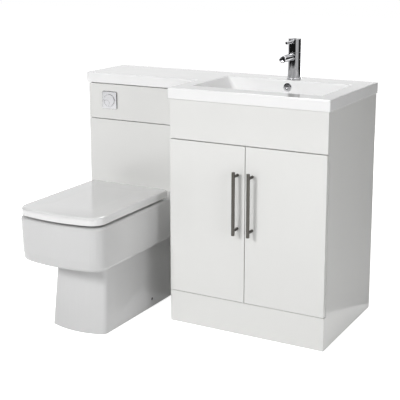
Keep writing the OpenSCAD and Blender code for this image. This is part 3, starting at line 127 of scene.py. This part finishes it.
LOOKS = {
    "gloss_panels": dict(
        colour=(0.775, 0.775, 0.76), rough=0.14, coat=0.05, specular=0.2, patch=(2.5, 0.008),
        rough_patch=(9.0, 0.02), bump=(260.0, 0.00003), edge=0.0012),
    "carcass_boards": dict(
        colour=(0.78, 0.78, 0.765), rough=0.42, patch=(4.0, 0.01), bump=(700.0, 0.00012),
        edge=0.0008),
    "cast_top": dict(
        colour=(0.91, 0.91, 0.91), rough=0.10, coat=0.2, patch=(14.0, 0.008),
        rough_patch=(12.0, 0.02), bump=(90.0, 0.00003)),
    "pan_ceramic": dict(
        colour=(0.64, 0.64, 0.64), rough=0.15, coat=0.1, ior=1.52, specular=0.25,
        patch=(5.0, 0.008), rough_patch=(14.0, 0.02), bump=(45.0, 0.00006)),
    "seat_plastic": dict(
        colour=(0.745, 0.745, 0.745), rough=0.15, coat=0.8, patch=(5.0, 0.006),
        rough_patch=(16.0, 0.03), bump=(420.0, 0.00003)),
    "chrome": dict(
        colour=(0.60, 0.60, 0.615), rough=0.06, metal=1.0, patch=(30.0, 0.02),
        rough_patch=(60.0, 0.03), bump=(500.0, 0.00001), edge=0.0006),
    # Painted shade: the handle steel's colour is set near black, far darker than steel, so the
    # bars render as dark as the dark surroundings they reflect.
    "handle_steel": dict(
        colour=(0.095, 0.09, 0.082), rough=0.30, metal=1.0, patch=(40.0, 0.03),
        rough_patch=(160.0, 0.05), bump=(1400.0, 0.00002), edge=0.0006, stretch=(1, 1, 0.03)),
    "hinge_steel": dict(
        colour=(0.56, 0.56, 0.57), rough=0.30, metal=1.0, patch=(60.0, 0.05),
        rough_patch=(180.0, 0.08), bump=(900.0, 0.00003), edge=0.0003, stretch=(1, 8, 1)),
    "white_plastic": dict(
        colour=(0.76, 0.76, 0.75), rough=0.38, patch=(12.0, 0.012), bump=(1200.0, 0.00008),
        edge=0.0008),
    "blue_plastic": dict(
        colour=(0.06, 0.20, 0.46), rough=0.35, patch=(20.0, 0.04), bump=(1200.0, 0.00008),
        edge=0.0006),
    "grey_plastic": dict(
        colour=(0.10, 0.10, 0.105), rough=0.45, patch=(30.0, 0.06), bump=(1500.0, 0.0001),
        edge=0.0006),
    "rubber": dict(
        colour=(0.018, 0.018, 0.018), rough=0.7, specular=0.2, patch=(30.0, 0.1),
        bump=(1500.0, 0.00015), edge=0.0006),
    "clear_rubber": dict(
        colour=(0.70, 0.70, 0.68), rough=0.35, patch=(40.0, 0.02), bump=(900.0, 0.00005)),
    "copper": dict(
        colour=(0.72, 0.42, 0.28), rough=0.26, metal=1.0, patch=(35.0, 0.08),
        rough_patch=(90.0, 0.08), bump=(500.0, 0.00003)),
    "brass": dict(
        colour=(0.66, 0.46, 0.18), rough=0.28, metal=1.0, patch=(60.0, 0.06),
        rough_patch=(220.0, 0.08), bump=(900.0, 0.00004), edge=0.0004),
}
FINISHES = {name: material(name, **look) for name, look in LOOKS.items()}

for part in frame["record"]["subparts"]:
    slots = nodes[part["node"]].data.materials
    finish = FINISHES[part["material_slot"]]
    if not slots:
        slots.append(finish)
    for i in range(len(slots)):
        slots[i] = finish


# ---------- small fittings ----------
# Shapes and places are in mm, in the row frame.

SHARP_ANGLE = math.radians(32)
# The turns that point a shape's Z each way.
FACING = {"up": Matrix(), "back": Matrix.Rotation(math.radians(-90), 4, "X"),
          "front": Matrix.Rotation(math.radians(90), 4, "X"),
          "right": Matrix.Rotation(math.radians(90), 4, "Y"),
          "left": Matrix.Rotation(math.radians(-90), 4, "Y")}


def piece(name, builder, finish, body, places):
    """Sets copies of a small shape as one piece that rides on a body.

    The builder makes the shape along Z. A place is x, y, z and the way that Z turns to, a key
    of FACING or a matrix.
    """
    bm = bmesh.new()
    for x, y, z, way in places:
        before = len(bm.verts)
        builder(bm)
        bm.verts.ensure_lookup_table()
        turn = FACING[way] if isinstance(way, str) else way
        matrix = Matrix.Translation(Vector((x, y, z)) * MM) @ turn @ Matrix.Scale(MM, 4)
        bmesh.ops.transform(bm, matrix=matrix, verts=bm.verts[before:])
    bmesh.ops.recalc_face_normals(bm, faces=bm.faces)
    mesh = bpy.data.meshes.new(name)
    bm.to_mesh(mesh)
    bm.free()
    obj = bpy.data.objects.new(name, mesh)
    bpy.context.scene.collection.objects.link(obj)
    mesh.materials.append(FINISHES[finish])
    for poly in mesh.polygons:
        poly.use_smooth = True
    mesh.set_sharp_from_angle(angle=SHARP_ANGLE)
    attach(obj, body)


def join_loops(bm, a, b):
    """Fills the band between two closed rings of the same number of vertices."""
    for i in range(len(a)):
        k = (i + 1) % len(a)
        bm.faces.new((a[i], a[k], b[k], b[i]))


def rings(bm, rows):
    """Joins rows of points, each a closed ring, and closes both ends with a fan."""
    loops = [[bm.verts.new(p) for p in row] for row in rows]
    for a, b in zip(loops, loops[1:]):
        join_loops(bm, a, b)
    for loop in (loops[0], loops[-1]):
        centre = bm.verts.new(sum((v.co for v in loop), Vector()) / len(loop))
        for i in range(len(loop)):
            bm.faces.new((loop[i], loop[(i + 1) % len(loop)], centre))


def circle(radius, z, steps):
    """Points of a level circle."""
    turns = [2 * math.pi * i / steps for i in range(steps)]
    return [(radius * math.cos(a), radius * math.sin(a), z) for a in turns]


def turned(profile, steps=32):
    """A shape turned on a lathe from (radius, height) pairs."""
    def build(bm):
        rings(bm, [circle(r, z, steps) for r, z in profile])
    return build


def screw_head(radius, height):
    """A low dome with a cross recess, on a short rim."""
    steps = 48
    rim = 0.45
    cross_reach, cross_half, cross_depth = 0.60, 0.17 * radius, 0.5 * height
    shares = (1.0, 0.97, 0.86, 0.66, 0.60, 0.45, 0.30, 0.20, 0.12)

    def build(bm):
        rows = [circle(radius, 0.0, steps)]
        for share in shares:
            dome_z = height * (rim + (1 - rim) * math.sqrt(1 - share * share))
            row = []
            for x, y, z in circle(share * radius, dome_z, steps):
                if share <= cross_reach and min(abs(x), abs(y)) < cross_half:
                    z -= cross_depth
                row.append((x, y, z))
            rows.append(row)
        rings(bm, rows)
    return build


def shadow_frame(half, grow, thick):
    """A thin square frame with round corners, from just inside the half width to grow past it."""
    inset, inner_r, step = 5, 3, 15
    signs = ((1, 1), (-1, 1), (-1, -1), (1, -1))

    def build(bm):
        outer, inner = [], []
        for corner, (sx, sy) in enumerate(signs):
            for turn in range(0, 91, step):
                a = math.radians(90 * corner + turn)
                cx, cy = sx * (half - inset), sy * (half - inset)
                for line, r in ((outer, inset + grow), (inner, inner_r)):
                    line.append((cx + r * math.cos(a), cy + r * math.sin(a)))
        loops = [[bm.verts.new((x, y, z)) for x, y in line]
                 for line, z in ((inner, 0), (outer, 0), (outer, thick), (inner, thick))]
        for a, b in zip(loops, loops[1:] + loops[:1]):
            join_loops(bm, a, b)
    return build


BASIN_X = 250.0


def mirrored(places):
    """The same places on the other side of the basin unit's middle."""
    other = {"left": "right", "right": "left"}
    return [(2 * BASIN_X - x, y, z, other.get(way, way)) for x, y, z, way in places]


# Places on the left door and in the left half of its cabinet. The right ones mirror them.
HINGE_ZS = (211.5, 594.5)
HANDLE_POST_ZS = (390.5, 582.5)
BUMPER_ZS = (130.0, 679.0)
PEG_ROWS = (40.0, 300.0)
PEG_LOW, PEG_PITCH, PEG_COUNT = 268.0, 32, 9
FITTING_PLACES = {
    "cup_screws": [(-28.4, -36.3, z + s, "back") for z in HINGE_ZS for s in (-25, 25)],
    "post_screws": [(221.5, -35.6, z, "back") for z in HANDLE_POST_ZS],
    "bumpers": [(238.0, -37.5, z, "back") for z in BUMPER_ZS],
    "plate_screws": [(-29.0, 9.0, z + s, "right") for z in HINGE_ZS for s in (-18, 18)],
    "arm_screws": [(-27.0, y, z, "right") for z in HINGE_ZS for y in (-2.0, 22.0)],
    "shelf_sleeves": [(-32.0, y, PEG_LOW + PEG_PITCH * i, "right")
                      for y in PEG_ROWS for i in range(PEG_COUNT)],
    "cam_caps": [(-16.0, y, 138.0, "up") for y in (14.0, 300.0)],
}
BUMPER = turned([(5.0, 0), (5.0, 0.5), (4.4, 1.4), (2.8, 1.9), (0.6, 2.0)])
SLEEVE = turned([(3.5, 0), (3.5, 0.3), (3.1, 0.6), (2.5, 0.6), (2.3, 0.15), (0.4, 0.1)], 20)
CAM_CAP = turned([(8.0, 0), (8.0, 0.6), (7.4, 1.0), (3.2, 1.0), (2.9, 0.7), (0.5, 0.7)])

for side, move in (("left", list), ("right", mirrored)):
    door = side + "_door"
    for kind, builder, finish, body in (
            ("cup_screws", screw_head(3.3, 1.0), "hinge_steel", door),
            ("post_screws", screw_head(3.4, 0.4), "hinge_steel", door),
            ("bumpers", BUMPER, "clear_rubber", door),
            ("plate_screws", screw_head(3.2, 1.2), "hinge_steel", "unit"),
            ("arm_screws", screw_head(2.8, 1.0), "hinge_steel", "unit"),
            ("shelf_sleeves", SLEEVE, "grey_plastic", "unit"),
            ("cam_caps", CAM_CAP, "white_plastic", "unit")):
        piece(f"{side}_{kind}", builder, finish, body, move(FITTING_PLACES[kind]))

PAN_X, FOOT_HALF = -300.0, 110.7
FIXING_Y, FIXING_Z = 27.5, 31.0
FIXING_CAP = turned([(5.6, 0), (5.6, 6.6), (5.0, 7.4), (2.2, 7.4), (1.9, 6.6), (0.4, 6.6)])
piece("pan_fixing_caps", FIXING_CAP, "rubber", "unit",
      [(PAN_X + FOOT_HALF, FIXING_Y, FIXING_Z, "right"),
       (PAN_X - FOOT_HALF, FIXING_Y, FIXING_Z, "left")])

# The bowl's back wall comes forward by this much for each mm down. Z points into the wall, so
# the cap's heights are below zero.
BOWL_BACK_SLOPE = 0.12
overflow_way = Matrix.Rotation(-math.radians(90) - math.atan(BOWL_BACK_SLOPE), 4, "X")
OVERFLOW_CAP = turned([(8.3, -0.6), (8.3, -1.9), (7.7, -2.5), (5.4, -2.7), (5.0, -2.4),
                       (4.4, -2.4), (4.0, -2.8), (0.4, -2.9)], 40)
piece("overflow_cap", OVERFLOW_CAP, "chrome", "unit", [(246.0, 306.5, 845.0, overflow_way)])

# Painted shadow: a thin black rubber frame behind the flush plate, standing just past its edges,
# so a dark line shows round the plate.
piece("flush_plate_shadow_frame", shadow_frame(34.0, 0.9, 1.0), "rubber", "unit",
      [(-452.0, 163.5, 763.0, "front")])


# ---------- light, floor and camera ----------
# Places are in metres.

WORLD_FILL = 0.10
FLOOR_HALF, FLOOR_DROP = 15, 0.0004
# The floor's own brightness grows from near the object to further off, as (distance, level).
GLOW_NEAR, GLOW_FAR = (0.9, 0.82), (2.2, 1.0)
CARD_RADIUS, CARD_TOP, CARD_STEPS = 2.3, 1.9, 12
BLACK = 0.012


def softbox(name, at, size, power, target=(0, 0, 0.5)):
    """A rectangular lamp that points at the target."""
    data = bpy.data.lights.new(name, "AREA")
    data.shape = "RECTANGLE"
    data.size, data.size_y = size
    data.energy = power
    lamp = bpy.data.objects.new(name, data)
    bpy.context.scene.collection.objects.link(lamp)
    lamp.location = at
    lamp.rotation_euler = (Vector(target) - Vector(at)).to_track_quat("-Z", "Y").to_euler()


def background_ray(graph):
    """1 where the camera, a reflection or clear material looks, and 0 for light that lands."""
    ray = graph.add("LightPath")
    seen = graph.add("Math", {0: ray.outputs["Is Camera Ray"],
                              1: ray.outputs["Is Glossy Ray"]}, operation="MAXIMUM")
    clear = graph.add("Math", {0: seen.outputs[0], 1: ray.outputs["Is Transmission Ray"]},
                      operation="MAXIMUM")
    return clear.outputs[0]


def studio_world():
    """White to the eye and in reflections, and a weak even light for the object."""
    world = bpy.data.worlds.new("studio")
    bpy.context.scene.world = world
    world.use_nodes = True
    graph = Graph(world.node_tree)
    world.node_tree.nodes.clear()
    fill = graph.add("Background", {"Color": WHITE, "Strength": WORLD_FILL})
    white = graph.add("Background", {"Color": WHITE, "Strength": 1.0})
    final = graph.add("MixShader", {0: background_ray(graph), 1: fill.outputs[0],
                                    2: white.outputs[0]})
    out = graph.add("OutputWorld")
    world.node_tree.links.new(final.outputs[0], out.inputs["Surface"])


def stage_object(name, bm):
    """An object of the studio, not of the toilet and basin unit."""
    mesh = bpy.data.meshes.new(name)
    bm.to_mesh(mesh)
    bm.free()
    obj = bpy.data.objects.new(name, mesh)
    bpy.context.scene.collection.objects.link(obj)
    return obj


def bare_material(name):
    """A material without nodes, and the graph to fill it with."""
    mat = bpy.data.materials.new(name)
    mat.use_nodes = True
    mat.node_tree.nodes.clear()
    return mat, Graph(mat.node_tree)


def studio_floor():
    """A pale matt floor that takes the object's shadow and looks white, more so further off."""
    bm = bmesh.new()
    bmesh.ops.create_grid(bm, x_segments=1, y_segments=1, size=FLOOR_HALF)
    floor = stage_object("floor", bm)
    floor.location.z = -FLOOR_DROP
    mat, graph = bare_material("pale_floor")
    place = graph.add("TexCoord").outputs["Object"]
    cloud = graph.add("TexNoise", {"Vector": place, "Scale": 0.8})
    paint = graph.ramp(cloud.outputs["Fac"], [(0, (0.82, 0.82, 0.82, 1)),
                                              (1, (0.84, 0.84, 0.84, 1))])
    matt = graph.add("BsdfDiffuse", {"Color": paint})
    away = graph.add("VectorMath", {0: place}, operation="LENGTH").outputs["Value"]
    level = graph.add("MapRange", {"Value": away, "From Min": GLOW_NEAR[0],
                                   "From Max": GLOW_FAR[0], "To Min": GLOW_NEAR[1],
                                   "To Max": GLOW_FAR[1]})
    glow = graph.add("Emission", {"Color": WHITE, "Strength": level.outputs["Result"]})
    both = graph.add("AddShader", {0: matt.outputs[0], 1: glow.outputs[0]})
    mix = graph.add("MixShader", {0: background_ray(graph), 1: matt.outputs[0],
                                  2: both.outputs[0]})
    out = graph.add("OutputMaterial")
    mat.node_tree.links.new(mix.outputs[0], out.inputs["Surface"])
    floor.data.materials.append(mat)


def card(name, start, end, profile, levels):
    """A curved screen that only reflections see, as used round chrome in a studio.

    start and end are degrees round from the front, positive to the right. profile gives its
    section as (radius, height) pairs, and levels its brightness as (height, level) pairs.
    """
    low, high = profile[0][1], profile[-1][1]
    bm = bmesh.new()
    rows = []
    for i in range(CARD_STEPS + 1):
        a = math.radians(start + (end - start) * i / CARD_STEPS)
        rows.append([bm.verts.new((radius * math.sin(a), -radius * math.cos(a), z))
                     for radius, z in profile])
    for a, b in zip(rows, rows[1:]):
        for k in range(len(profile) - 1):
            bm.faces.new((a[k], b[k], b[k + 1], a[k + 1]))
    screen = stage_object(name, bm)
    screen.visible_camera = False
    screen.visible_diffuse = False
    screen.visible_transmission = False
    screen.visible_shadow = False
    mat, graph = bare_material(name)
    place = graph.add("TexCoord").outputs["Object"]
    up = graph.add("SeparateXYZ", {"Vector": place}).outputs["Z"]
    rise = graph.add("MapRange", {"Value": up, "From Min": low, "From Max": high})
    shade = graph.ramp(rise.outputs["Result"],
                       [((z - low) / (high - low), (level, level, level, 1))
                        for z, level in levels])
    glow = graph.add("Emission", {"Color": shade, "Strength": 1.0})
    out = graph.add("OutputMaterial")
    mat.node_tree.links.new(glow.outputs[0], out.inputs["Surface"])
    screen.data.materials.append(mat)


def even_card(name, start, end, low, level):
    """An upright card of one brightness."""
    card(name, start, end, [(CARD_RADIUS, low), (CARD_RADIUS, CARD_TOP)],
         [(low, level), (CARD_TOP, level)])


def photo_camera():
    """The photograph's view: a long lens from the right of the front, looking slightly down."""
    yaw, pitch = math.radians(-28.7215), math.radians(-11.1052)
    ahead = Vector((math.sin(yaw) * math.cos(pitch), math.cos(yaw) * math.cos(pitch),
                    math.sin(pitch)))
    data = bpy.data.cameras.new("photo_camera")
    data.sensor_width = 36.0
    data.lens = 86.40
    data.shift_y = -0.1625
    camera = bpy.data.objects.new("photo_camera", data)
    bpy.context.scene.collection.objects.link(camera)
    camera.location = (1.65865, -2.94875, 1.35714)
    camera.rotation_euler = ahead.to_track_quat("-Z", "Y").to_euler()
    bpy.context.scene.camera = camera


studio_world()
studio_floor()
# Dark screens at the front and a grey one at the right, for the bands in the chrome.
even_card("left_card", -104, -48, 0.3, BLACK)
even_card("middle_card", -48, -36, 0.52, BLACK)
even_card("front_card", -36, 50, 0.3, BLACK)
even_card("side_card", 50, 108, 0.5, 0.6)
# Seen in the basin unit's right side, and brightest at the floor.
card("right_card", 110, 152, [(0.72, 0.002), (1.1, 0.006), (1.1, 1.4)],
     [(0.002, 0.40), (0.3, 0.24), (0.72, 0.08), (0.80, 0.03), (1.4, 0.03)])
# Seen in the level face of the top.
card("rear_card", 176, 232, [(CARD_RADIUS, 1.05), (CARD_RADIUS, 1.85)],
     [(1.05, 1.0), (1.15, 1.0), (1.24, 0.78), (1.65, 0.78), (1.85, 1.0)])

softbox("key_light", (-0.86, -3.7, 2.27), (0.7, 0.7), 71)
softbox("front_light", (0.5, -3.7, 2.4), (2.2, 2.0), 29)
softbox("right_light", (3.3, -1.5, 1.2), (1.6, 1.4), 35, (0, 0, 0.4))
softbox("top_light", (0.0, -0.6, 3.4), (3.0, 2.4), 17)
softbox("left_light", (-3.4, -0.8, 1.2), (1.6, 1.6), 14, (0, 0, 0.4))
softbox("back_light", (-0.6, 3.0, 3.1), (2.0, 1.2), 37)
softbox("wall_side_light", (0.1, 3.8, 0.9), (1.4, 1.2), 26)
photo_camera()
bpy.context.scene.view_settings.view_transform = "Standard"
